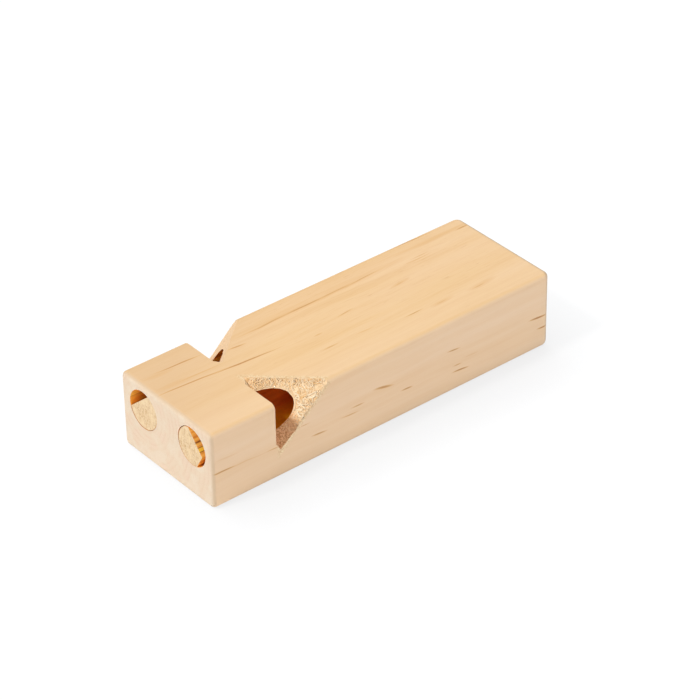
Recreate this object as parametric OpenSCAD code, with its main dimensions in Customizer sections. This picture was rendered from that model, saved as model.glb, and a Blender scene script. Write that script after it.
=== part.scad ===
// Two-note wooden whistle: a pine block with two blind bores, two notches and two glued plugs.
// X runs across the block, Y along it with the mouth end at -Y, Z up from the underside. Millimetres.

/* [Block] */
// Length from the mouth end to the far end
block_length = 100; // [90:1:130]
// Width across the two bores
block_width = 33.8; // [31:0.2:44]
// Height from the underside to the top
block_height = 20.2; // [18:0.2:28]
// Rounding of the four long edges
long_edge_round = 1.8; // [0.6:0.1:3]
// Rounding of the edges round the mouth end
mouth_edge_round = 1.3; // [0.6:0.1:1.6]
// Rounding of the edges round the far end
far_edge_round = 2; // [0.6:0.1:4]

/* [Bores] */
// Diameter of the drill for both bores
bore_dia = 10; // [8:0.1:12]
// Wood left between each bore and its side of the block, before the shift
side_wood = 2.95; // [2.4:0.05:4]
// How far the pair of bores sits to the right of the middle
bore_shift = 0.8; // [-1:0.1:1]
// Wood left between the bores and the top
bore_cover = 1.7; // [1.4:0.1:2.4]
// Wood left behind the left bore, which is the deeper one and sounds the lower note
left_end_wood = 9; // [6:0.5:20]
// Wood left behind the right bore, which is the shallower one and sounds the higher note
right_end_wood = 21; // [6:0.5:34]
// Point angle of the drill, which shapes the blind ends
drill_point = 118; // [100:1:140]

/* [Voicing notches] */
// Distance from the mouth end to the upright wall of each notch
wall_from_mouth = 17.8; // [14:0.1:24]
// How far each notch bites into its bore, measured along the corner's diagonal
window_bite = 4.05; // [3.35:0.05:4.9]
// How much less the left notch bites
left_bite_less = 0.4; // [0:0.1:0.6]
// Turn of the left notch from its corner's diagonal towards the side of the block
left_notch_turn = 2; // [0:0.5:4]
// Slope of the ramp behind the window
ramp_angle = 32.5; // [28:0.5:40]
// Small bevel at the root of the notch, between its wall and its ramp
root_bevel = 1.3; // [0.5:0.1:1.8]

/* [Plugs] */
// Glue gap round each plug
plug_gap = 0.1; // [0.05:0.01:0.2]
// Greatest height of the windway over the planed flat
windway_height = 2.8; // [1.5:0.1:3.2]
// Turn of the left plug's flat away from its corner, positive towards the top
left_flat_turn = 4; // [-10:1:10]
// Turn of the right plug's flat away from its corner, positive towards the top
right_flat_turn = -6; // [-10:1:10]
// Depth of the second, narrow flat pared along the right plug under its windway
right_pared_depth = 1.2; // [0.5:0.1:1.5]
// Angle between the right plug's two flats
right_pared_angle = 68; // [60:1:80]
// Bevel round the two ends of each plug
plug_bevel = 0.3; // [0.1:0.05:0.6]

/* [Hidden] */
$fn = 96;
// Reach of a cutter past the surface that it cuts through
over = 5;
mouth_y = -block_length / 2;
far_y = block_length / 2;
bore_r = bore_dia / 2;
bore_z = block_height - bore_cover - bore_r;
half_spacing = block_width / 2 - side_wood - bore_r;
left_bore_x = bore_shift - half_spacing;
right_bore_x = bore_shift + half_spacing;
point_length = bore_r / tan(drill_point / 2);
left_bore_depth = block_length - left_end_wood - point_length;
right_bore_depth = block_length - right_end_wood - point_length;
plug_r = bore_r - plug_gap;
plug_length = wall_from_mouth;
flat_from_axis = bore_r - windway_height;
wall_y = mouth_y + wall_from_mouth;
notch_reach = block_width + block_height;
// Each notch faces out of its corner at this angle above the horizontal
corner_angle = 45;
left_notch_angle = corner_angle - left_notch_turn;
// Depth of a notch from its corner, the way it faces: as far as the near wall of its own bore, and the bite
function notch_depth(bore_x, angle, bite) =
  (block_width / 2 - abs(bore_x)) * cos(angle) + (block_height - bore_z) * sin(angle) - bore_r + bite;
left_flat_angle = 180 - corner_angle - left_flat_turn;
right_flat_angle = corner_angle + right_flat_turn;

// Pine block, drilled and notched
module body()
  color("#ecc896")
    difference() {
      rounded_block();
      blind_bore(left_bore_x, left_bore_depth);
      blind_bore(right_bore_x, right_bore_depth);
      voicing_notch(corner_angle, notch_depth(right_bore_x, corner_angle, window_bite));
      mirror([1, 0, 0])
        voicing_notch(left_notch_angle, notch_depth(left_bore_x, left_notch_angle, window_bite - left_bite_less));
    }

// Dowel in the left bore
module left_plug()
  color("#efd9b4")
    placed_plug(left_bore_x, left_flat_angle)
      whistle_plug();

// Dowel in the right bore, pared a second time under its windway
module right_plug()
  color("#efd9b4")
    placed_plug(right_bore_x, right_flat_angle)
      difference() {
        whistle_plug();
        rotate([0, 0, -right_pared_angle])
          plane_cut(plug_r - right_pared_depth);
      }

// Block with its edges rounded in all three directions
module rounded_block()
  intersection() {
    translate([0, far_y, 0])
      rotate([90, 0, 0])
        linear_extrude(block_length)
          end_profile();
    linear_extrude(block_height)
      plan_profile();
    rotate([90, 0, 90])
      linear_extrude(block_width, center = true)
        side_profile();
  }

// Block seen from the mouth end
module end_profile()
  difference() {
    translate([-block_width / 2, 0])
      square([block_width, block_height]);
    for (side = [-1, 1])
      scale([side, 1]) {
        translate([-block_width / 2, 0])
          corner_waste(long_edge_round);
        translate([-block_width / 2, block_height])
          scale([1, -1])
            corner_waste(long_edge_round);
      }
  }

// Block seen from above
module plan_profile()
  difference() {
    translate([-block_width / 2, mouth_y])
      square([block_width, block_length]);
    for (side = [-1, 1])
      scale([side, 1]) {
        translate([-block_width / 2, mouth_y])
          corner_waste(mouth_edge_round);
        translate([-block_width / 2, far_y])
          scale([1, -1])
            corner_waste(far_edge_round);
      }
  }

// Block seen from the right side
module side_profile()
  difference() {
    translate([mouth_y, 0])
      square([block_length, block_height]);
    for (end = [[0, 1], [block_height, -1]])
      translate([0, end[0]])
        scale([1, end[1]]) {
          translate([mouth_y, 0])
            corner_waste(mouth_edge_round);
          translate([far_y, 0])
            scale([-1, 1])
              corner_waste(far_edge_round);
        }
  }

// What rounding takes off a square corner
module corner_waste(radius)
  difference() {
    square(radius);
    translate([radius, radius])
      circle(radius);
  }

// Drilled hole from the mouth end with a pointed blind end
module blind_bore(bore_x, depth)
  translate([bore_x, mouth_y, bore_z])
    rotate([-90, 0, 0])
      rotate_extrude()
        polygon([
          [0, -over],
          [bore_r, -over],
          [bore_r, depth],
          [0, depth + point_length]
        ]);

// Cutter for a notch in the right corner, drawn along the block and swept square to the way it faces
module voicing_notch(angle, depth)
  translate([block_width / 2, wall_y, block_height])
    rotate([0, -angle, 0])
      linear_extrude(notch_reach, center = true)
        notch_profile(depth);

// Notch along its depth (negative X) and along the block (Y)
module notch_profile(depth) {
  ramp_foot = [-depth, root_bevel];
  ramp_run = (depth + over) / tan(ramp_angle);
  polygon([
    [over, 0],
    [root_bevel - depth, 0],
    ramp_foot,
    [over, ramp_foot[1] + ramp_run]
  ]);
}

// Round plug with bevelled ends and one flat, standing on its inner end with the flat facing +X
module whistle_plug()
  difference() {
    rotate_extrude()
      polygon([
        [0, 0],
        [plug_r - plug_bevel, 0],
        [plug_r, plug_bevel],
        [plug_r, plug_length - plug_bevel],
        [plug_r - plug_bevel, plug_length],
        [0, plug_length]
      ]);
    plane_cut(flat_from_axis);
  }

// Wood planed off the plug beyond this distance from its axis
module plane_cut(from_axis)
  translate([from_axis, -bore_dia, -over])
    cube([bore_dia, 2 * bore_dia, plug_length + 2 * over]);

// Plug laid in its bore, flush with the mouth end
module placed_plug(bore_x, flat_angle)
  translate([bore_x, wall_y, bore_z])
    rotate([90, 0, 0])
      rotate([0, 0, flat_angle])
        children();

body();
left_plug();
right_plug();
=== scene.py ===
import math
import random

import bmesh
import bpy
from mathutils import Matrix, Vector
from mathutils.bvhtree import BVHTree


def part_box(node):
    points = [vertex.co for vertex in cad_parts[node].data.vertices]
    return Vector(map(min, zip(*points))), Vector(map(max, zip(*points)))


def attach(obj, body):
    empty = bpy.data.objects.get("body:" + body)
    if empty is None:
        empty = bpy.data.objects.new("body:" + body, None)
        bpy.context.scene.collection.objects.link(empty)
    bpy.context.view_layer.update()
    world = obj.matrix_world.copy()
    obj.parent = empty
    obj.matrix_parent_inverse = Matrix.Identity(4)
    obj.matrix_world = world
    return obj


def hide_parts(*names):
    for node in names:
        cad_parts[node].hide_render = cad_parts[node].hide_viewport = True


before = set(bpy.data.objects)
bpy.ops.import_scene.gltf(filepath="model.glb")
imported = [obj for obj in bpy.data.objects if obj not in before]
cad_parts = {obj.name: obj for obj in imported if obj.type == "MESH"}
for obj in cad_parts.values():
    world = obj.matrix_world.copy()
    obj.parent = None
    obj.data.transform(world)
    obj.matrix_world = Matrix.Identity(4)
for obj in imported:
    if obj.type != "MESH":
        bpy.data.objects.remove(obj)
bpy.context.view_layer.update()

# A two-note whistle: a sanded pine block with two drilled bores, a flat-sided dowel plug glued into the mouth
# of each, and a notch across each long top edge, the right one torn by a coarse cutter, the left one clean.
# X runs across the block, Y along it with the mouth end at -Y, Z up. Metres.
mm = 0.001

# The block, from the frame
low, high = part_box("body")
block_width = high[0] - low[0]
block_length = high[1] - low[1]
block_height = high[2] - low[2]
right_x = high[0]
mouth_y = low[1]
top_z = high[2]
# The edges are rounded by hand on a sander: most along the top's left, and then at the ends' upright edges
top_left_round = 2.5 * mm
upright_edge_round = 2 * mm
far_edge_round = 1.5 * mm
long_edge_round = 1.3 * mm
mouth_edge_round = 1.1 * mm
edge_segments = 8

# The bores
bore_radius = 5 * mm
bore_sides = 96
side_wood = 2.95 * mm
bore_cover = 1.7 * mm
bore_shift = 0.8 * mm
bore_z = top_z - bore_cover - bore_radius
half_spacing = block_width / 2 - side_wood - bore_radius
left_bore_x = bore_shift - half_spacing
right_bore_x = bore_shift + half_spacing
left_end_wood = 9 * mm
right_end_wood = 21 * mm
drill_point_angle = 118
point_length = bore_radius / math.tan(math.radians(drill_point_angle / 2))

# The notches. Each faces out of its long top edge at an angle above the horizontal, and is as deep that way
# as the near wall of its bore, and the bite into it
wall_y = mouth_y + 17.8 * mm
right_notch_angle = math.radians(45)
left_notch_angle = math.radians(43)
right_bite = 4.05 * mm
left_bite = 3.65 * mm


def notch_depth(bore_x, angle, bite):
    aside = block_width / 2 - abs(bore_x)
    return aside * math.cos(angle) + (top_z - bore_z) * math.sin(angle) - bore_radius + bite


right_notch_depth = notch_depth(right_bore_x, right_notch_angle, right_bite)
left_notch_depth = notch_depth(left_bore_x, left_notch_angle, left_bite)
ramp_angle = math.radians(32.5)
ramp_cuts = 70
root_bevel = 1.3 * mm
ramp_foot_y = wall_y + root_bevel
# Both ramps are rough with lumps of this width and height
rough_width = 0.7 * mm
rough_height = 0.18 * mm
# The cutter tore the right ramp's upper edge: it goes this much deeper there, within this height of the top
tear_depth = 0.3 * mm
tear_height = 1.6 * mm
# It frayed that ramp's edge on the block's side over this width, and left both edges ragged with larger lumps
frayed_width = 1.5 * mm
ragged_width = 1.3 * mm
ragged_height = 0.3 * mm
# It hollowed the ramp by the block's side, over this width and by this much halfway up
hollow_width = 3 * mm
hollow_depth = 0.4 * mm

# The slivers that it tore loose. None lie on the notch's foot, low down and near its wall, which is painted
# brown as shade
sliver_count = 740
sliver_seed = 7
bare_foot_z = bore_z - 0.8 * mm
bare_foot_y = wall_y + 4.4 * mm
# They are short along the upper edge, above this height, and within this width of the block's side
upper_edge_z = top_z - 2.2 * mm
side_edge = 1.3 * mm
# They are rooted this deep, up to this far past the ramp's upper corner, and stay clear of wall and window
root_sunk = 0.02 * mm
past_corner = 1.2 * mm
wall_clearance = 0.3 * mm
window_clearance = 0.05 * mm
# They are trimmed a little inside the block's top and its right side. None has a corner this near the cut
trimmed_z = top_z - 0.02 * mm
trimmed_x = right_x - 0.02 * mm
scrap = 0.004 * mm
# A sliver is drawn one unit long. It rises and swells by so much at each step, and bends aside in two ways
sliver_radius = 0.08
sliver_steps = ((0.06, 1.3), (0.04, 1.1), (0.01, 0.95), (-0.02, 0.8), (-0.05, 0.4))
curled_aside = (0.05, 0.12, 0.2, 0.26, 0.3)
wavy_aside = (0.2, 0.2, 0.02, -0.16, -0.22)

# The plugs
glue_gap = 0.1 * mm
plug_radius = bore_radius - glue_gap
plug_sides = 80
plug_rim_round = 0.06 * mm
plug_lean = 0.065 * mm
flat_from_axis = bore_radius - 2.8 * mm
pared_from_axis = bore_radius - 1.3 * mm
# Each flat: the angle that it faces in degrees, from +X towards +Z, and its distance from the bore's axis
left_flats = [(131, flat_from_axis)]
right_flats = [(39, flat_from_axis), (-29, pared_from_axis)]
# Glue stains the bore this far past a flat
glue_creep = 0.1 * mm

# Cutters stand out of the wood by this much
over = 2 * mm
# What lies within this of a plane lies in it
touch = 0.01 * mm
# Edges sharper than this, in degrees, stay sharp
sharp_angle = 30


# Tools for modelling by hand

def take(piece):
    """Selects one piece alone and makes it the active one."""
    bpy.ops.object.select_all(action="DESELECT")
    piece.select_set(True)
    bpy.context.view_layer.objects.active = piece


def edit(piece):
    """Opens one piece in edit mode with nothing on it selected."""
    take(piece)
    bpy.ops.object.mode_set(mode="EDIT")
    bpy.ops.mesh.select_all(action="DESELECT")


def pick(piece, kind, wanted):
    """Selects only those verts, edges or faces of the open piece that pass a test."""
    bpy.ops.mesh.select_mode(type={"verts": "VERT", "edges": "EDGE", "faces": "FACE"}[kind])
    bpy.ops.mesh.select_all(action="DESELECT")
    mesh = bmesh.from_edit_mesh(piece.data)
    for part in getattr(mesh, kind):
        if wanted(part):
            part.select_set(True)
    mesh.select_flush_mode()
    bmesh.update_edit_mesh(piece.data)


def cut_off(point, facing, **settings):
    """Cuts off what lies past a plane of the open piece, on the side that it faces, and closes the cut."""
    bpy.ops.mesh.select_all(action="SELECT")
    bpy.ops.mesh.bisect(plane_co=point, plane_no=facing, clear_outer=True, use_fill=True, **settings)


def close():
    bpy.ops.object.mode_set(mode="OBJECT")


def close_outwards():
    """Turns all faces of the open piece outwards and closes it."""
    bpy.ops.mesh.select_all(action="SELECT")
    bpy.ops.mesh.normals_make_consistent(inside=False)
    close()


def settle(piece):
    """Puts the piece's place, turn and size into its mesh."""
    take(piece)
    bpy.ops.object.transform_apply(location=True, rotation=True, scale=True)


def modify(piece, kind, **settings):
    """Adds a modifier to the piece and applies it."""
    bpy.context.view_layer.objects.active = piece
    modifier = piece.modifiers.new(kind.lower(), kind)
    for name, value in settings.items():
        setattr(modifier, name, value)
    bpy.ops.object.modifier_apply(modifier=modifier.name)


def cut(piece, cutter):
    """Cuts the piece with a cutter, which is used up. The cut keeps the cutter's material."""
    modify(piece, "BOOLEAN", operation="DIFFERENCE", solver="EXACT", object=cutter, material_mode="TRANSFER")
    bpy.data.objects.remove(cutter)


def smooth(piece):
    """Shades the piece smooth, apart from its sharp edges and the edges between two materials."""
    edit(piece)
    pick(piece, "edges", lambda e: len({f.material_index for f in e.link_faces}) > 1)
    bpy.ops.mesh.mark_sharp()
    close()
    bpy.ops.object.shade_smooth_by_angle(angle=math.radians(sharp_angle), keep_sharp_edges=True)
    modify(piece, "WEIGHTED_NORMAL", mode="FACE_AREA", weight=100, keep_sharp=True)


def keep(piece, name, node=None):
    """Names a finished piece and ties it to the frame."""
    piece.name = name
    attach(piece, "root")
    if node:
        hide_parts(node)


# Tools for materials

wood_ior = 1.45
glue_ior = 1.47


def linear(hex_colour):
    """Turns an sRGB hex colour into linear red, green and blue, with full alpha."""
    channels = [int(hex_colour[i:i + 2], 16) / 255 for i in (1, 3, 5)]
    return [c / 12.92 if c <= 0.04045 else ((c + 0.055) / 1.055) ** 2.4 for c in channels] + [1]


def add(tree, kind, inputs=None, **settings):
    """Adds a shader node with its settings, and with a value or a link for each input given."""
    node = tree.nodes.new("ShaderNode" + kind)
    for name, value in settings.items():
        setattr(node, name, value)
    for socket, value in (inputs or {}).items():
        if isinstance(value, bpy.types.NodeSocket):
            tree.links.new(value, node.inputs[socket])
        else:
            node.inputs[socket].default_value = value
    return node


def blank(name):
    """Starts a material, and gives it with its empty node tree."""
    material = bpy.data.materials.new(name)
    material.use_nodes = True
    material.node_tree.nodes.clear()
    return material, material.node_tree


def drawn_out(tree, place, across, along, look):
    """A mottled pattern that repeats over so many millimetres across the grain and along it."""
    scale = (1 / (across * mm), 1 / (along * mm), 1 / (across * mm))
    stretched = add(tree, "Mapping", {0: place, "Scale": scale})
    return add(tree, "TexNoise", {"Vector": stretched.outputs[0], "Scale": 1, **look})


def stain(tree, colour, tint, pattern, start, full, most=1, within=None):
    """Lays a tint over a colour where a pattern goes from a start to a full level. The tint's share stays at
    or under most, and within the other share if one is given. A colour is a hex value or a node's."""
    share = add(tree, "MapRange", {0: pattern, 1: start, 2: full, 4: most}).outputs[0]
    if within is not None:
        share = add(tree, "Math", {0: share, 1: within}, operation="MULTIPLY").outputs[0]
    colour, tint = [linear(c) if isinstance(c, str) else c for c in (colour, tint)]
    return add(tree, "Mix", {0: share, 6: colour, 7: tint}, data_type="RGBA").outputs[2]


def surfaced(tree, colour, roughness, ior, relief=None):
    """Ends a material with its colour, its dullness and the relief of its surface, if it has any."""
    look = {"Base Color": colour, "Roughness": roughness, "IOR": ior}
    if relief:
        look["Normal"] = add(tree, "Bump", relief).outputs[0]
    shader = add(tree, "BsdfPrincipled", look)
    add(tree, "OutputMaterial", {0: shader.outputs[0]})


# Resin streaks seen on the block's top: middle x and y, length, width in mm, turn in degrees and strength
top_streaks = [
    (-9.8, -38.9, 12.5, 0.5, -4.0, 0.75),
    (-9.2, -44.5, 8.0, 2.0, -3.0, 0.2),
    (-2.0, -41.0, 20.0, 0.55, -4.0, 0.72),
    (-0.7, -26.5, 19.0, 0.6, -4.5, 0.82),
    (-3.7, -38.0, 14.0, 0.6, -3.0, 0.42),
    (-4.0, -44.0, 10.0, 2.4, -3.0, 0.22),
    (-6.6, -24.6, 5.0, 0.55, -5.0, 0.62),
    (-9.4, -13.0, 18.0, 0.5, 0.0, 0.6),
    (-9.6, -3.0, 16.0, 0.55, 2.0, 0.66),
    (-9.8, 6.5, 14.0, 0.5, 0.0, 0.58),
    (-9.9, 15.0, 14.0, 0.5, 1.6, 0.58),
    (-9.6, -9.0, 28.0, 1.4, 0.6, 0.4),
    (-9.8, 9.0, 28.0, 1.4, 0.6, 0.4),
    (-10.4, -7.0, 36.0, 3.6, 0.0, 0.24),
    (-10.6, 12.0, 36.0, 3.6, 0.0, 0.24),
    (-13.4, 6.0, 80.0, 6.5, 0.0, 0.16),
    (-12.2, 38.0, 26.0, 1.8, 0.0, 0.32),
    (-15.1, 33.5, 12.0, 0.5, -2.0, 0.75),
    (-11.6, 47.3, 5.0, 0.7, 0.0, 0.6),
    (-8.7, 31.5, 6.0, 0.35, 0.0, 0.45),
    (-7.9, 30.0, 8.0, 0.35, 0.0, 0.45),
    (-7.1, 31.0, 6.0, 0.35, 0.0, 0.4),
    (-1.3, 2.7, 4.8, 0.5, 5.0, 0.55),
    (-2.4, 20.0, 4.4, 0.5, 5.0, 0.48),
    (-2.5, 20.2, 6.5, 1.6, 5.0, 0.28),
    (1.6, -7.6, 2.4, 0.5, 4.0, 0.42),
    (7.3, -8.5, 4.4, 0.5, 0.0, 0.5),
    (7.3, 1.6, 5.5, 0.5, 0.0, 0.32),
    (8.9, 14.6, 5.4, 0.45, 0.0, 0.62),
    (9.6, 22.4, 4.8, 0.5, 2.0, 0.48),
    (9.6, 22.6, 7.0, 1.8, 2.0, 0.24),
    (10.0, 33.5, 6.0, 0.5, 3.0, 0.48),
    (9.9, 34.5, 9.0, 2.0, 2.0, 0.26),
]
# Resin streaks seen on its right side: middle y and z, length, width in mm, turn in degrees and strength
side_streaks = [
    (-47.0, 9.4, 8.0, 0.55, -4.0, 0.75),
    (-41.0, 9.0, 14.0, 0.5, -2.0, 0.3),
    (-45.8, 12.5, 6.0, 0.5, -2.0, 0.25),
    (-32.8, 8.6, 5.0, 0.5, -4.0, 0.5),
    (-24.2, 11.0, 3.6, 0.5, -3.0, 0.5),
    (-20.0, 6.9, 4.6, 0.55, -5.0, 0.7),
    (-11.0, 7.8, 5.4, 0.5, -3.0, 0.55),
    (-8.8, 9.4, 4.0, 0.55, -3.0, 0.65),
    (-1.2, 10.9, 6.0, 0.7, -9.0, 0.75),
    (5.7, 7.3, 3.6, 0.55, -4.0, 0.75),
    (19.9, 11.6, 4.0, 0.6, -6.0, 0.75),
    (21.0, 7.0, 2.8, 0.5, -3.0, 0.6),
    (22.0, 5.1, 5.2, 0.6, -4.0, 0.85),
    (25.3, 7.9, 4.5, 0.5, -3.0, 0.25),
    (46.2, 9.2, 6.0, 0.65, -4.0, 0.9),
    (47.6, 5.8, 3.6, 0.6, -2.0, 0.85),
]
# A streak fades towards its ends, so it is drawn a little longer, and it goes this deep in mm
streak_reach = 0.6
streak_depth = 3
# A streak's edges wave by so many mm, and are frayed by so many
streak_waves = 0.9
streak_fray = 0.16


def sanded_pine():
    """Bare pine, planed and sanded. Fine fibres and soft bands run along the block, short resin streaks
    show as thin brown dashes, the ends are paler and mottled, and nothing shines."""
    material, tree = blank("sanded_pine")
    coordinates = add(tree, "TexCoord")
    place = coordinates.outputs["Object"]
    facing = add(tree, "SeparateXYZ", {0: coordinates.outputs["Normal"]})
    end_on = add(tree, "Math", {0: facing.outputs["Y"]}, operation="ABSOLUTE").outputs[0]
    side_on = add(tree, "Math", {0: facing.outputs["X"]}, operation="ABSOLUTE").outputs[0]
    # The grain wanders a millimetre or so to each side over a few centimetres
    wander = add(tree, "TexNoise", {"Vector": place, "Scale": 1 / (35 * mm), "Detail": 1})
    grain = add(
        tree,
        "VectorMath",
        {0: wander.outputs["Color"], 1: (3 * mm, 0, 3 * mm), 2: place},
        operation="MULTIPLY_ADD",
    ).outputs[0]
    along = add(tree, "SeparateXYZ", {0: grain})
    zones = drawn_out(tree, grain, 9, 90, {"Detail": 2, "Roughness": 0.55})
    bands = drawn_out(tree, grain, 2.2, 60, {"Detail": 3, "Roughness": 0.6}).outputs[0]
    fibres = drawn_out(tree, grain, 0.32, 7, {"Detail": 2, "Roughness": 0.6})
    flecks = drawn_out(tree, grain, 0.5, 3.5, {"Detail": 1})

    colour = stain(tree, "#f2d0a6", "#efcb99", zones.outputs[0], 0.32, 0.68)
    colour = stain(tree, colour, "#dcab6c", bands, 0.5, 0.78, 0.3)
    colour = stain(tree, colour, "#f6dab6", bands, 0.5, 0.25, 0.3)
    colour = stain(tree, colour, "#d5a368", fibres.outputs[0], 0.5, 0.75, 0.17)
    colour = stain(tree, colour, "#c89460", flecks.outputs[0], 0.7, 0.82, 0.25)
    # The heartwood near the mouth and the left is a little browner
    mouthwards = add(
        tree, "Math", {0: along.outputs["X"], 1: 0.8, 2: along.outputs["Y"]}, operation="MULTIPLY_ADD"
    )
    colour = stain(tree, colour, "#e1be94", mouthwards.outputs[0], -18 * mm, -48 * mm, 0.7)
    # Sides are cut across the growth rings and look pinker than the top
    pink = stain(tree, "#f6dac2", "#eecaa6", bands, 0.3, 0.7)
    colour = stain(tree, colour, pink, side_on, 0.3, 0.95, 0.6)
    # Paler towards the underside: painted light that makes up for the dimmer light low down. Sapwood towards
    # the right is paler
    colour = stain(tree, colour, "#f6dab8", along.outputs["Z"], 9 * mm, 3 * mm, 0.3)
    colour = stain(tree, colour, "#f5d8b6", along.outputs["X"], 6 * mm, 16 * mm, 0.3)
    # The long edges' roundings are golden: painted shade where they turn from the lit top to the dimmer side
    rounding_shade_band = add(tree, "MapRange", {0: side_on, 1: 0.9, 2: 0.6, 4: 0.35})
    colour = stain(tree, colour, "#eec484", side_on, 0.1, 0.45, within=rounding_shade_band.outputs[0])

    # Resin streaks: a dark heart in a wider golden halo, wavy and a little frayed
    waves = drawn_out(tree, place, 3, 9, {"Detail": 1})
    wavy = add(
        tree,
        "VectorMath",
        {0: waves.outputs[1], 1: (streak_waves * mm, 0, streak_waves * mm), 2: place},
        operation="MULTIPLY_ADD",
    ).outputs[0]
    frayed = add(
        tree,
        "VectorMath",
        {0: fibres.outputs[1], 1: (streak_fray * mm, 0, streak_fray * mm), 2: wavy},
        operation="MULTIPLY_ADD",
    ).outputs[0]
    # These patterns move a streak by half their strength on average
    moved = (streak_waves + streak_fray) / 2
    streaks = []
    for x, y, length, width, turn, strength in top_streaks:
        middle = ((x + moved) * mm, y * mm, top_z)
        reach = (width / 2, streak_reach * length, streak_depth)
        streaks.append((middle, (0, 0, math.radians(turn)), reach, strength))
    for y, z, length, width, turn, strength in side_streaks:
        middle = (right_x, y * mm, (z + moved) * mm)
        reach = (streak_depth, streak_reach * length, width / 2)
        streaks.append((middle, (math.radians(turn), 0, 0), reach, strength))
    # The left side and the underside have streaks strewn by chance
    strewn = drawn_out(tree, wavy, 0.65, 10, {"Detail": 1})
    strewn = add(tree, "MapRange", {0: strewn.outputs[0], 1: 0.66, 2: 0.8})
    hidden = add(tree, "Math", {0: facing.outputs["X"], 1: facing.outputs["Z"]}, operation="MINIMUM")
    hidden = add(tree, "MapRange", {0: hidden.outputs[0], 1: -0.3, 2: -0.8, 4: 0.8})
    dark = add(tree, "Math", {0: strewn.outputs[0], 1: hidden.outputs[0]}, operation="MULTIPLY").outputs[0]
    for middle, turned, reach, strength in streaks:
        own = add(
            tree,
            "Mapping",
            {0: frayed, "Location": middle, "Rotation": turned, "Scale": [side * mm for side in reach]},
            vector_type="TEXTURE",
        )
        away = add(tree, "VectorMath", {0: own.outputs[0], 1: own.outputs[0]}, operation="DOT_PRODUCT")
        near = add(tree, "MapRange", {0: away.outputs["Value"], 1: 1, 2: 0, 4: strength})
        dark = add(tree, "Math", {0: dark, 1: near.outputs[0]}, operation="MAXIMUM").outputs[0]
    colour = stain(tree, colour, "#deab66", dark, 0, 0.5, 0.65)
    colour = stain(tree, colour, "#b2743e", dark, 0.36, 0.86, 0.85)

    # Torn grain frays the top and the side beside the right ramp into tan and cream strands
    off_ramp = (
        math.cos(ramp_angle) * math.cos(right_notch_angle),
        -math.sin(ramp_angle),
        math.cos(ramp_angle) * math.sin(right_notch_angle),
    )
    ramp_at = right_x * off_ramp[0] + ramp_foot_y * off_ramp[1] + top_z * off_ramp[2]
    ramp_at -= right_notch_depth * math.cos(ramp_angle) + tear_depth
    frays = add(tree, "TexNoise", {"Vector": place, "Scale": 1 / (0.7 * mm), "Detail": 2})
    fray = add(tree, "Math", {0: frays.outputs[0], 1: 1.6 * mm}, operation="MULTIPLY")
    above = add(tree, "VectorMath", {0: place, 1: off_ramp}, operation="DOT_PRODUCT")
    reached = add(tree, "Math", {0: above.outputs["Value"], 1: fray.outputs[0]}, operation="ADD")
    fringe = add(
        tree, "MapRange", {0: reached.outputs[0], 1: ramp_at - 0.1 * mm, 2: ramp_at + 0.5 * mm, 4: 0.8}
    )
    outwards = add(tree, "Math", {0: facing.outputs["Z"], 1: facing.outputs["X"]}, operation="MAXIMUM")
    outwards = add(tree, "MapRange", {0: outwards.outputs[0], 1: 0.8, 2: 0.95})
    fringe = add(tree, "Math", {0: fringe.outputs[0], 1: outwards.outputs[0]}, operation="MULTIPLY")
    beyond_wall = add(tree, "MapRange", {0: along.outputs["Y"], 1: wall_y, 2: wall_y + 1 * mm})
    fringe = add(tree, "Math", {0: fringe.outputs[0], 1: beyond_wall.outputs[0]}, operation="MULTIPLY")
    strands = add(
        tree, "TexNoise", {"Vector": place, "Scale": 1 / (0.45 * mm), "Detail": 1, "Distortion": 1.5}
    )
    lifted = stain(tree, "#deb988", "#fbe6c2", strands.outputs[0], 0.4, 0.6)
    colour = add(tree, "Mix", {0: fringe.outputs[0], 6: colour, 7: lifted}, data_type="RGBA").outputs[2]

    # Sawn ends: paler, mottled cream and pink over a few millimetres, with fine open cells and faint growth
    # rings round a heart that lies in the left bore at the mouth and runs out under the far end
    mottle = add(tree, "TexNoise", {"Vector": place, "Scale": 1 / (4.5 * mm), "Detail": 2, "Roughness": 0.6})
    blush = add(tree, "SeparateXYZ", {0: mottle.outputs[1]})
    cells = add(tree, "TexNoise", {"Vector": place, "Scale": 1 / (0.4 * mm), "Detail": 1})
    round_heart = add(
        tree,
        "Mapping",
        {
            0: grain,
            "Location": (left_bore_x + 1.5 * mm, mouth_y, bore_z + 1.5 * mm),
            "Rotation": (-math.radians(13), 0, 0),
        },
        vector_type="TEXTURE",
    )
    rings = add(
        tree,
        "TexWave",
        {"Vector": round_heart.outputs[0], "Scale": 1 / (4.6 * mm), "Distortion": 1.5, "Detail": 1},
        wave_type="RINGS",
        rings_direction="Y",
        wave_profile="SAW",
    )
    patch = add(tree, "MapRange", {0: mottle.outputs[0], 1: 0.38, 2: 0.62})
    sawn = stain(tree, "#e2d2be", "#dfcab1", mottle.outputs[0], 0.38, 0.62)
    sawn = stain(tree, sawn, "#e6d0c0", blush.outputs["X"], 0.48, 0.66, 0.5)
    sawn = stain(tree, sawn, "#cdaa86", cells.outputs[0], 0.5, 0.8, 0.25)
    sawn = stain(tree, sawn, "#c99c6c", rings.outputs[1], 0.5, 1, 0.17, within=patch.outputs[0])
    end = add(tree, "MapRange", {0: end_on, 1: 0.35, 2: 0.9}, interpolation_type="SMOOTHSTEP")
    colour = add(tree, "Mix", {0: end.outputs[0], 6: colour, 7: sawn}, data_type="RGBA").outputs[2]
    # The rounded edges round the ends are a little grey: painted shade on those roundings
    rounding_shade_band = add(tree, "MapRange", {0: end_on, 1: 0.98, 2: 0.7, 4: 0.65})
    colour = stain(tree, colour, "#cfb89c", end_on, 0.1, 0.5, within=rounding_shade_band.outputs[0])

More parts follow.
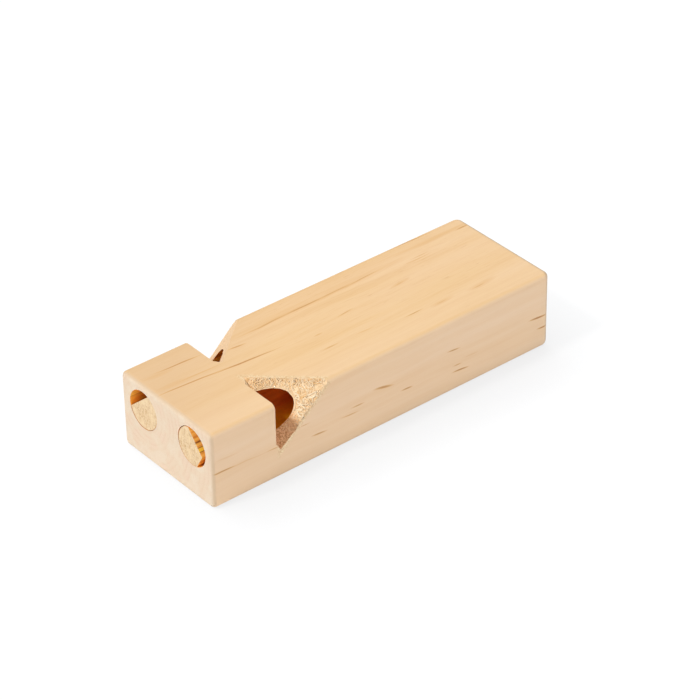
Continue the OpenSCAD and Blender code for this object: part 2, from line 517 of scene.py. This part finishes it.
    dull = add(tree, "MapRange", {0: fibres.outputs[0], 1: 0.3, 2: 0.7, 3: 0.58, 4: 0.72})
    relief = {"Strength": 0.25, "Distance": 0.06 * mm, "Height": fibres.outputs[0]}
    surfaced(tree, colour, dull.outputs[0], wood_ior, relief)
    return material


def drilled_pine():
    """Pine inside the bores. Redder than the sanded faces, partly its own colour and partly painted shade of
    the bore's dim inside, with faint rings, and golden only near the mouth, as painted light where light
    falls in."""
    material, tree = blank("drilled_pine")
    place = add(tree, "TexCoord").outputs["Object"]
    grain = drawn_out(tree, place, 0.8, 12, {"Detail": 3})
    lines = drawn_out(tree, place, 0.7, 25, {"Detail": 1})
    turns = add(
        tree, "TexWave", {"Vector": place, "Scale": 1 / (4 * mm), "Distortion": 1}, bands_direction="Y"
    )
    colour = stain(tree, "#e8741c", "#d05e0e", grain.outputs[0], 0.35, 0.65)
    golden = stain(tree, "#ffd05c", "#ffa834", grain.outputs[0], 0.35, 0.65)
    golden = stain(tree, golden, "#b05a12", lines.outputs[0], 0.54, 0.66, 0.7)
    # The bore's floor is ochre: painted light where light from the window falls on it
    height = add(tree, "SeparateXYZ", {0: place})
    colour = stain(tree, colour, "#ffb010", height.outputs["Z"], bore_z - 3.4 * mm, bore_z - 4.8 * mm, 0.9)
    # Near the mouth it is golden, painted light where light falls into the bore; the golden reaches a few
    # millimetres further in on the left, and low down
    at = add(tree, "VectorMath", {0: place, 1: (0.5, 1, 0.5)}, operation="DOT_PRODUCT")
    golden_end = mouth_y + 23.9 * mm + 0.5 * bore_z
    colour = stain(tree, colour, golden, at.outputs["Value"], golden_end + 2 * mm, golden_end)
    relief = {"Strength": 0.3, "Distance": 0.05 * mm, "Height": turns.outputs[1]}
    surfaced(tree, colour, 0.6, wood_ior, relief)
    return material


def glued_pine():
    """The bore beside a plug, stained by glue that has dried. Amber to brown, and a little shiny. In the
    narrow joint it shows as a thin dark line."""
    material, tree = blank("glued_pine")
    place = add(tree, "TexCoord").outputs["Object"]
    drops = add(tree, "TexNoise", {"Vector": place, "Scale": 1 / (1.5 * mm), "Detail": 1})
    colour = stain(tree, "#e8a860", "#c48444", drops.outputs[0], 0.35, 0.65)
    surfaced(tree, colour, 0.45, glue_ior)
    return material


def paint_foot_shade(tree, colour, tint, place, most):
    """Paints a colour at the foot of a notch, low down and near its wall: painted shade that browns and
    deepens the wall's shadow there.
    """
    at = add(tree, "SeparateXYZ", {0: place})
    near_wall = add(tree, "MapRange", {0: at.outputs["Y"], 1: wall_y + 7.2 * mm, 2: wall_y + 5.4 * mm})
    start, full = bore_z + 2.2 * mm, bore_z + 0.4 * mm
    return stain(tree, colour, tint, at.outputs["Z"], start, full, most, near_wall.outputs[0])


def cut_pine(name, hollow, ridge, roughness, foot_shade_share):
    """Bare pine as a cutter leaves it, dull and mottled between two tones, the darker one in the hollows of
    its relief as painted shade, and brown and speckled at the foot of the notch as painted shade of the
    wall's shadow."""
    material, tree = blank(name)
    place = add(tree, "TexCoord").outputs["Object"]
    tufts = add(
        tree,
        "TexNoise",
        {"Vector": place, "Scale": 1 / (0.9 * mm), "Detail": 3, "Roughness": 0.65, "Distortion": 0.6},
    ).outputs[0]
    specks = add(tree, "TexNoise", {"Vector": place, "Scale": 1 / (0.32 * mm), "Detail": 2, "Roughness": 0.6})
    # The darker tone follows the relief's hollows: painted shade
    colour = stain(tree, hollow, ridge, tufts, 0.35, 0.65)
    # The foot's brown, speckled colour is painted shade
    foot_shade_colour = stain(tree, "#efb888", "#b6743e", specks.outputs[0], 0.42, 0.6)
    colour = paint_foot_shade(tree, colour, foot_shade_colour, place, foot_shade_share)
    surfaced(tree, colour, 0.8, wood_ior, {"Strength": roughness, "Distance": 0.15 * mm, "Height": tufts})
    return material


def torn_fibre_pine():
    """Loose slivers of pine. Cream to golden, each with a tone of its own, browner at the foot of the notch
    as painted shade, and dull."""
    material, tree = blank("torn_fibre_pine")
    place = add(tree, "TexCoord").outputs["Object"]
    tone = add(tree, "Attribute", attribute_name="tone")
    colour = add(
        tree, "Mix", {0: tone.outputs["Fac"], 6: linear("#fbe9cc"), 7: linear("#ecc289")}, data_type="RGBA"
    ).outputs[2]
    # Browner at the notch's foot: painted shade
    colour = paint_foot_shade(tree, colour, "#e6b080", place, 0.9)
    surfaced(tree, colour, 0.75, wood_ior)
    return material


# Stripes on the right plug's flat, one dark and one yellow with dark borders: x and z, width in mm and colour
plug_stripes = [
    (11.2, 15.2, 0.3, "#5a2a0c"),
    (12.3, 13.8, 0.7, "#ffdc40"),
    (12.0, 14.2, 0.16, "#8a5214"),
    (12.6, 13.4, 0.16, "#8a5214"),
]


def dowel_wood():
    """Pale hardwood dowel. Its sawn end is cream with fine brown pores, crowded in places, and the planed
    flat and the sides are golden with dark and yellow stripes along the grain."""
    material, tree = blank("dowel_wood")
    coordinates = add(tree, "TexCoord")
    place = coordinates.outputs["Object"]
    facing = add(tree, "SeparateXYZ", {0: coordinates.outputs["Normal"]})
    end_on = add(tree, "Math", {0: facing.outputs["Y"]}, operation="ABSOLUTE")
    stripes = drawn_out(tree, place, 0.7, 40, {"Detail": 2})
    colour = stain(tree, "#ffc860", "#e08c38", stripes.outputs[0], 0.35, 0.65)
    for x, z, width, tint in plug_stripes:
        middle = (x * mm, mouth_y + 3 * mm, z * mm)
        own = add(
            tree,
            "Mapping",
            {0: place, "Location": middle, "Scale": (width * mm, 9 * mm, width * mm)},
            vector_type="TEXTURE",
        )
        away = add(tree, "VectorMath", {0: own.outputs[0]}, operation="LENGTH")
        colour = stain(tree, colour, tint, away.outputs["Value"], 1, 0.3, 0.85)
    pores = drawn_out(tree, place, 0.36, 6, {"Detail": 2, "Distortion": 0.5}).outputs[0]
    crowds = add(tree, "TexNoise", {"Vector": place, "Scale": 1 / (2.8 * mm), "Detail": 1})
    crowd = add(tree, "MapRange", {0: crowds.outputs[0], 1: 0.38, 2: 0.62, 3: 0.12, 4: 0.62}).outputs[0]
    sawn = add(
        tree, "Mix", {0: crowd, 6: linear("#e8d2ae"), 7: linear("#dec5a0")}, data_type="RGBA"
    ).outputs[2]
    sawn = stain(tree, sawn, "#b58c60", pores, 0.48, 0.64, within=crowd)
    # Slanting strokes left by the saw
    slant = (0, math.radians(55), 0)
    strokes_at = add(
        tree, "Mapping", {0: place, "Rotation": slant, "Scale": (1 / (0.35 * mm), 1, 1 / (1.8 * mm))}
    )
    strokes = add(
        tree, "TexNoise", {"Vector": strokes_at.outputs[0], "Scale": 1, "Detail": 1, "Distortion": 0.4}
    )
    sawn = stain(tree, sawn, "#c99e66", strokes.outputs[0], 0.48, 0.68, 0.45)
    colour = stain(tree, colour, sawn, end_on.outputs[0], 0.5, 0.9)
    surfaced(tree, colour, 0.7, wood_ior, {"Strength": 0.15, "Distance": 0.06 * mm, "Height": pores})
    return material


def white_card():
    """Matte white card. Seen directly it is white apart from a soft shadow close to what stands on it, and it
    lights as white card does."""
    material, tree = blank("white_card")
    path = add(tree, "LightPath")
    seen = path.outputs["Is Camera Ray"]
    for ray in ("Is Glossy Ray", "Is Transmission Ray"):
        seen = add(tree, "Math", {0: seen, 1: path.outputs[ray]}, operation="MAXIMUM").outputs[0]
    card = add(tree, "BsdfDiffuse", {"Color": (0.85, 0.85, 0.85, 1)})
    shade = add(tree, "BsdfDiffuse", {"Color": (0.1, 0.105, 0.115, 1)})
    # The side away from the key light is in soft shade
    to_key = add(tree, "VectorMath", {0: (-0.8, -0.25, 0.5)}, operation="NORMALIZE")
    close_by = add(tree, "AmbientOcclusion", {"Distance": 20 * mm, "Normal": to_key.outputs[0]}, samples=16)
    level = add(tree, "MapRange", {0: close_by.outputs["AO"], 3: 0.74, 4: 0.93})
    glow = add(tree, "Emission", {"Color": (1, 1, 1, 1), "Strength": level.outputs[0]})
    white = add(tree, "AddShader", {0: shade.outputs[0], 1: glow.outputs[0]})
    both = add(tree, "MixShader", {0: seen, 1: card.outputs[0], 2: white.outputs[0]})
    add(tree, "OutputMaterial", {0: both.outputs[0]})
    return material


# The block

def lies(edge, kind):
    """Whether the middle of an edge of the block lies to this side across and along it, and at this height:
    -1 or 1 for a side, 0 for the middle and None for anywhere."""
    middle = (edge.verts[0].co + edge.verts[1].co) / 2 - Vector((0, 0, block_height / 2))
    return all(
        side is None or abs(at - side * size / 2) < size / 4
        for at, side, size in zip(middle, kind, (block_width, block_length, block_height))
    )


def rounded_block(material):
    """The block before it is drilled, with a rounding of its own on each edge."""
    bpy.ops.object.select_all(action="DESELECT")
    bpy.ops.mesh.primitive_cube_add(size=1, location=(0, 0, block_height / 2))
    block = bpy.context.object
    block.scale = (block_width, block_length, block_height)
    settle(block)
    block.data.materials.append(material)
    edit(block)
    for kind, radius in (
        ((-1, 0, 1), top_left_round),
        ((-1, 0, -1), long_edge_round),
        ((1, 0, None), long_edge_round),
        ((0, -1, None), mouth_edge_round),
        ((0, 1, None), far_edge_round),
        ((-1, -1, 0), upright_edge_round),
        ((1, -1, 0), mouth_edge_round),
        ((-1, 1, 0), upright_edge_round),
        ((1, 1, 0), upright_edge_round),
    ):
        pick(block, "edges", lambda e: lies(e, kind))
        bpy.ops.transform.edge_bevelweight(value=radius / top_left_round)
    close()
    modify(block, "BEVEL", width=top_left_round, limit_method="WEIGHT", segments=edge_segments, profile=0.5)
    return block


def open_beside(bore_x, point, flats):
    """How far a point stands out of a plug's nearest flat."""
    aside, up = point.x - bore_x, point.z - bore_z
    return max(
        aside * math.cos(math.radians(degrees)) + up * math.sin(math.radians(degrees)) - from_axis
        for degrees, from_axis in flats
    )


def drill(bore_x, end_wood, flats, material, glued):
    """The hole that a drill leaves, with its pointed end, and stained by glue where a plug fills it."""
    depth = block_length - end_wood - point_length
    bpy.ops.object.select_all(action="DESELECT")
    bpy.ops.mesh.primitive_cylinder_add(
        vertices=bore_sides,
        radius=bore_radius,
        depth=depth + over,
        location=(bore_x, mouth_y + (depth - over) / 2, bore_z),
        rotation=(math.radians(90), 0, 0),
    )
    hole = bpy.context.object
    settle(hole)
    hole.data.materials.append(material)
    hole.data.materials.append(glued)
    edit(hole)
    pick(hole, "faces", lambda f: f.normal.y > 0.9)
    bpy.ops.mesh.extrude_region_move(TRANSFORM_OT_translate={"value": (0, point_length, 0)})
    bpy.ops.mesh.merge(type="CENTER")
    bpy.ops.mesh.select_all(action="SELECT")
    bpy.ops.mesh.bisect(plane_co=(bore_x, wall_y, bore_z), plane_no=(0, 1, 0))
    pick(hole, "faces", lambda f: all(
        v.co.y < wall_y + touch and open_beside(bore_x, v.co, flats) < glue_creep for v in f.verts
    ))
    hole.active_material_index = 1
    bpy.ops.object.material_slot_assign()
    close()
    return hole


def held(share):
    """Holds a share between none and all."""
    return min(max(share, 0), 1)


def lumps(piece, name, width, height, where):
    """Makes part of a piece uneven, with lumps of about this width and height."""
    uneven = bpy.data.textures.new(name, "CLOUDS")
    uneven.noise_scale = width
    modify(piece, "DISPLACE", texture=uneven, texture_coords="LOCAL", strength=height, vertex_group=where)


def notch_cutter(angle, depth, material, torn_edge):
    """A notch in the right corner as a solid: a bar laid square to the long edge, cut to the ramp and the
    root's bevel, with the ramp rough and its edges torn or left clean. It is drawn with its depth along -X,
    then turned into the corner."""
    run = root_bevel + (depth + over) / math.tan(ramp_angle)
    bpy.ops.object.select_all(action="DESELECT")
    bpy.ops.mesh.primitive_cube_add(size=1, location=((over - depth) / 2, run / 2, 0))
    cutter = bpy.context.object
    cutter.scale = (over + depth, run, 2 * (depth + over))
    settle(cutter)
    cutter.data.materials.append(material)
    edit(cutter)
    into_ramp = Vector((-math.cos(ramp_angle), math.sin(ramp_angle), 0))
    for into_wood in (into_ramp, Vector((-1, -1, 0))):
        cut_off((-depth, root_bevel, 0), into_wood)
    pick(cutter, "faces", lambda f: f.normal.dot(into_ramp) > 0.99)
    bpy.ops.mesh.subdivide(number_cuts=ramp_cuts)
    ramp_points = [v.index for v in bmesh.from_edit_mesh(cutter.data).verts if v.select]
    close()
    cutter.rotation_euler = (0, -angle, 0)
    cutter.location = (right_x, wall_y, top_z)
    settle(cutter)
    ramp = cutter.vertex_groups.new(name="ramp")
    ramp.add(ramp_points, 1, "REPLACE")
    torn = cutter.vertex_groups.new(name="torn")
    frayed = cutter.vertex_groups.new(name="frayed")
    hollowed = cutter.vertex_groups.new(name="hollowed")
    foot_z = top_z - depth / math.sin(angle)
    for index in ramp_points:
        point = cutter.data.vertices[index].co
        risen = held((point.z - top_z + tear_height) / tear_height)
        torn_by = risen * risen * (3 - 2 * risen)
        torn.add([index], torn_by, "REPLACE")
        frayed_by = held(1 - (right_x - point.x) / frayed_width)
        frayed.add([index], max(torn_by, frayed_by), "REPLACE")
        climbed = held((point.z - foot_z) / (top_z - foot_z))
        hollowed_by = held(1 - (right_x - point.x) / hollow_width)
        hollowed.add([index], hollowed_by * 4 * climbed * (1 - climbed), "REPLACE")
    if torn_edge:
        modify(cutter, "DISPLACE", strength=tear_depth, mid_level=0, vertex_group="torn")
        modify(cutter, "DISPLACE", strength=hollow_depth, mid_level=0, vertex_group="hollowed")
        lumps(cutter, "ragged", ragged_width, ragged_height, "frayed")
    lumps(cutter, "rough", rough_width, rough_height, "ramp")
    # Only flat faces leave a clean edge where they cut
    modify(cutter, "TRIANGULATE")
    return cutter


def mirrored(piece):
    """Turns a right-hand piece into a left-hand one."""
    piece.scale = (-1, 1, 1)
    settle(piece)
    edit(piece)
    close_outwards()
    return piece


def sliver(material, asides):
    """One torn fibre, 1 unit long from its root along +Y: a five-sided strand drawn out in steps that swell,
    lift, taper and wander to the side by the distances given."""
    bpy.ops.object.select_all(action="DESELECT")
    bpy.ops.mesh.primitive_circle_add(
        vertices=5,
        radius=sliver_radius,
        fill_type="NGON",
        location=(0, 0, 0),
        rotation=(math.radians(90), 0, 0),
    )
    strand = bpy.context.object
    settle(strand)
    strand.data.materials.append(material)
    edit(strand)
    bpy.ops.mesh.select_all(action="SELECT")
    reached = Vector((0, 0, 0))
    for aside, (up, size) in zip(asides, sliver_steps):
        step = Vector((aside, 1 / len(sliver_steps), up))
        bpy.ops.mesh.extrude_region_move(TRANSFORM_OT_translate={"value": step})
        reached += step
        bpy.ops.transform.resize(value=(size, 1, size), center_override=reached)
    close_outwards()
    bpy.ops.object.shade_smooth()
    return strand


def fits(points):
    """Whether a sliver stays clear of the window and the notch's wall, with a good part of it inside the
    block and no corner right where it is trimmed, which would leave a scrap."""
    inside = [p for p in points if p.z < trimmed_z and p.x < trimmed_x]
    from_axis = min(math.hypot(p.x - right_bore_x, p.z - bore_z) for p in points)
    return (
        min(p.y for p in points) > wall_y + wall_clearance
        and from_axis > bore_radius + window_clearance
        and len(inside) > len(points) / 4
        and min(abs(p.z - trimmed_z) for p in points) > scrap
        and min(abs(p.x - trimmed_x) for p in points) > scrap
    )


def trim(strand, points):
    """Cuts off what stands out of the block's top or its right side, as sanding does."""
    for reached, limit, facing in (
        (max(p.z for p in points), trimmed_z, Vector((0, 0, 1))),
        (max(p.x for p in points), trimmed_x, Vector((1, 0, 0))),
    ):
        if reached > limit:
            edit(strand)
            cut_off(limit * facing, facing, threshold=0)
            close_outwards()


def ramp_fibres(body, patterns):
    """Copies of the slivers strewn over the right ramp. They are rooted in it and lie close to it, clear of
    the window and trimmed to the block's outline, and are joined to one piece."""
    chance = random.Random(sliver_seed)
    out = Vector((math.cos(right_notch_angle), 0, math.sin(right_notch_angle)))
    across = Vector((-math.sin(right_notch_angle), 0, math.cos(right_notch_angle)))
    along = Vector((0, 1, 0))
    off_ramp = math.cos(ramp_angle) * out - math.sin(ramp_angle) * along
    up_ramp = math.sin(ramp_angle) * out + math.cos(ramp_angle) * along
    corner = Vector((right_x, ramp_foot_y, top_z))
    surface = BVHTree.FromObject(body, bpy.context.evaluated_depsgraph_get())
    copies = []
    while len(copies) < sliver_count:
        pattern = chance.choice(patterns)
        depth = right_notch_depth * math.sqrt(chance.random())
        aside = chance.uniform(-depth, depth + past_corner)
        root = corner - depth * out + aside * across
        root += along * (right_notch_depth - depth) / math.tan(ramp_angle)
        # Its root is where a line from above the ramp meets the wood
        root = surface.ray_cast(root + 2 * mm * off_ramp, -off_ramp, 5 * mm)[0]
        if root is None or (root.z < bare_foot_z and root.y < bare_foot_y):
            continue
        root -= root_sunk * off_ramp
        # Along the torn upper edge they are short, flat and side by side, and by the block's side short too
        upper = root.z > upper_edge_z
        short = 0.7 if upper or aside + depth < side_edge else 1
        flatness = 0.4 if upper else 0.6
        for attempt in range(9):
            turn = chance.uniform(20, 80) if upper and attempt < 3 else chance.uniform(-60, 130)
            turn = math.radians(turn + chance.choice((0, 180)))
            length = short * chance.uniform(1.4, 2.8) * mm
            thickness = chance.uniform(1.1, 1.7) * mm
            # Where no long one fits, by the window, a short thin one does
            if attempt > 4:
                length = chance.uniform(0.5, 1.1) * mm
                thickness = chance.uniform(0.7, 1) * mm
            lift = math.radians(chance.uniform(-1, 3))
            lie = math.cos(turn) * up_ramp + math.sin(turn) * across
            ahead = math.cos(lift) * lie + math.sin(lift) * off_ramp
            beside = ahead.cross(off_ramp).normalized()
            above = beside.cross(ahead)
            turned = Matrix((beside, ahead, above)).transposed().to_4x4()
            sized = Matrix.Diagonal((thickness, length, flatness * thickness, 1))
            lay = Matrix.Translation(root) @ turned @ sized
            points = [lay @ v.co for v in pattern.data.vertices]
            if fits(points):
                break
        else:
            continue
        copy = pattern.copy()
        copy.data = pattern.data.copy()
        tone = copy.data.attributes.new("tone", "FLOAT", "POINT")
        golden = chance.uniform(0.2, 1) if upper else chance.random()
        tone.data.foreach_set("value", [golden] * len(points))
        copy.data.transform(lay)
        bpy.context.collection.objects.link(copy)
        trim(copy, points)
        copies.append(copy)
    bpy.ops.object.select_all(action="DESELECT")
    for copy in copies:
        copy.select_set(True)
    bpy.context.view_layer.objects.active = copies[0]
    bpy.ops.object.join()
    return copies[0]


def plug(bore_x, leans, flats, material):
    """A dowel laid in its bore, planed flat along its length and broken along its rims. It leans by almost
    a tenth of a millimetre against one side of the bore, so that the glue line shows on the other."""
    bpy.ops.object.select_all(action="DESELECT")
    bpy.ops.mesh.primitive_cylinder_add(
        vertices=plug_sides,
        radius=plug_radius,
        depth=wall_y - mouth_y,
        location=(bore_x + leans[0], (mouth_y + wall_y) / 2, bore_z + leans[1]),
        rotation=(math.radians(90), 0, 0),
    )
    dowel = bpy.context.object
    settle(dowel)
    dowel.data.materials.append(material)
    edit(dowel)
    axis = Vector((bore_x, mouth_y, bore_z))
    for degrees, from_axis in flats:
        facing = Vector((math.cos(math.radians(degrees)), 0, math.sin(math.radians(degrees))))
        cut_off(axis + from_axis * facing, facing)
    for end_y in (mouth_y, wall_y):
        pick(dowel, "edges", lambda e: all(abs(v.co.y - end_y) < touch for v in e.verts))
        bpy.ops.mesh.bevel(offset=plug_rim_round, segments=3, profile=0.5, affect="EDGES")
    close()
    smooth(dowel)
    return dowel


pine = sanded_pine()
drilled = drilled_pine()
glued = glued_pine()
# Torn with the grain lifted: rough, tan in the hollows as painted shade and cream on the ridges
torn = cut_pine("torn_pine", "#eeca9c", "#f6dcb6", 0.2, 0.9)
# Cut across without tearing: almost smooth, and a little duller
clean_cut = cut_pine("clean_cut_pine", "#e4c29a", "#e9cba6", 0.15, 0.5)
loose = torn_fibre_pine()
dowel = dowel_wood()

body = rounded_block(pine)
cut(body, drill(left_bore_x, left_end_wood, left_flats, drilled, glued))
cut(body, drill(right_bore_x, right_end_wood, right_flats, drilled, glued))
cut(body, notch_cutter(right_notch_angle, right_notch_depth, torn, True))
cut(body, mirrored(notch_cutter(left_notch_angle, left_notch_depth, clean_cut, False)))
smooth(body)
keep(body, "pine_block", "body")

slivers = []
for asides in (curled_aside, wavy_aside):
    slivers.append(sliver(loose, asides))
    slivers.append(sliver(loose, [-aside for aside in asides]))
right_fibres = ramp_fibres(body, slivers)
keep(right_fibres, "right_ramp_fibres")
for pattern in slivers:
    bpy.data.objects.remove(pattern)

left_plug = plug(left_bore_x, (plug_lean, plug_lean), left_flats, dowel)
keep(left_plug, "left_dowel_plug", "left_plug")
right_plug = plug(right_bore_x, (plug_lean, -plug_lean), right_flats, dowel)
keep(right_plug, "right_dowel_plug", "right_plug")

# The floor
bpy.ops.object.select_all(action="DESELECT")
bpy.ops.mesh.primitive_plane_add(size=6)
floor = bpy.context.object
floor.name = "floor"
floor.data.materials.append(white_card())

# Soft studio light: a key from the left front above, weak fills from the right and the left and
# an even white room. Each lamp has its place, its width, its power in watts and its colour
for name, place, size, power, colour in (
    ("key", (-0.3, -1.55, 1.87), 0.3, 38, "#fff9f0"),
    ("back_fill", (1.6, 1.8, 0.7), 1.2, 9, "#ffffff"),
    ("front_fill", (1.9, -1.3, 0.5), 1.2, 7, "#ffffff"),
    ("left_fill", (-1.5, 0.3, 1.3), 1.2, 3, "#ffffff"),
):
    turned = Vector(place).to_track_quat("Z", "Y").to_euler()
    bpy.ops.object.light_add(type="AREA", location=place, rotation=turned)
    lamp = bpy.context.object
    lamp.name = name
    lamp.data.size = size
    lamp.data.energy = power
    lamp.data.color = linear(colour)[:3]

room = bpy.data.worlds.new("white_room")
bpy.context.scene.world = room
room.use_nodes = True
room.node_tree.nodes.clear()
seen = add(room.node_tree, "LightPath").outputs["Is Camera Ray"]
even = add(room.node_tree, "Background", {"Color": (1, 1, 1, 1), "Strength": 0.46})
backdrop = add(room.node_tree, "Background", {"Color": (1, 1, 1, 1), "Strength": 1})
both = add(room.node_tree, "MixShader", {0: seen, 1: even.outputs[0], 2: backdrop.outputs[0]})
add(room.node_tree, "OutputWorld", {0: both.outputs[0]})

# The camera, fitted to the block's outline: its place, its turn in degrees and its lens in mm
camera_place = (0.442277, -0.354499, 0.400356)
camera_turn = (55.5572, 0.7736, 50.53)
bpy.ops.object.camera_add(location=camera_place, rotation=[math.radians(angle) for angle in camera_turn])
camera = bpy.context.object
camera.data.lens = 153.61
camera.data.sensor_width = 36
camera.data.clip_start = 0.01
bpy.context.scene.camera = camera
bpy.context.scene.view_settings.view_transform = "Standard"
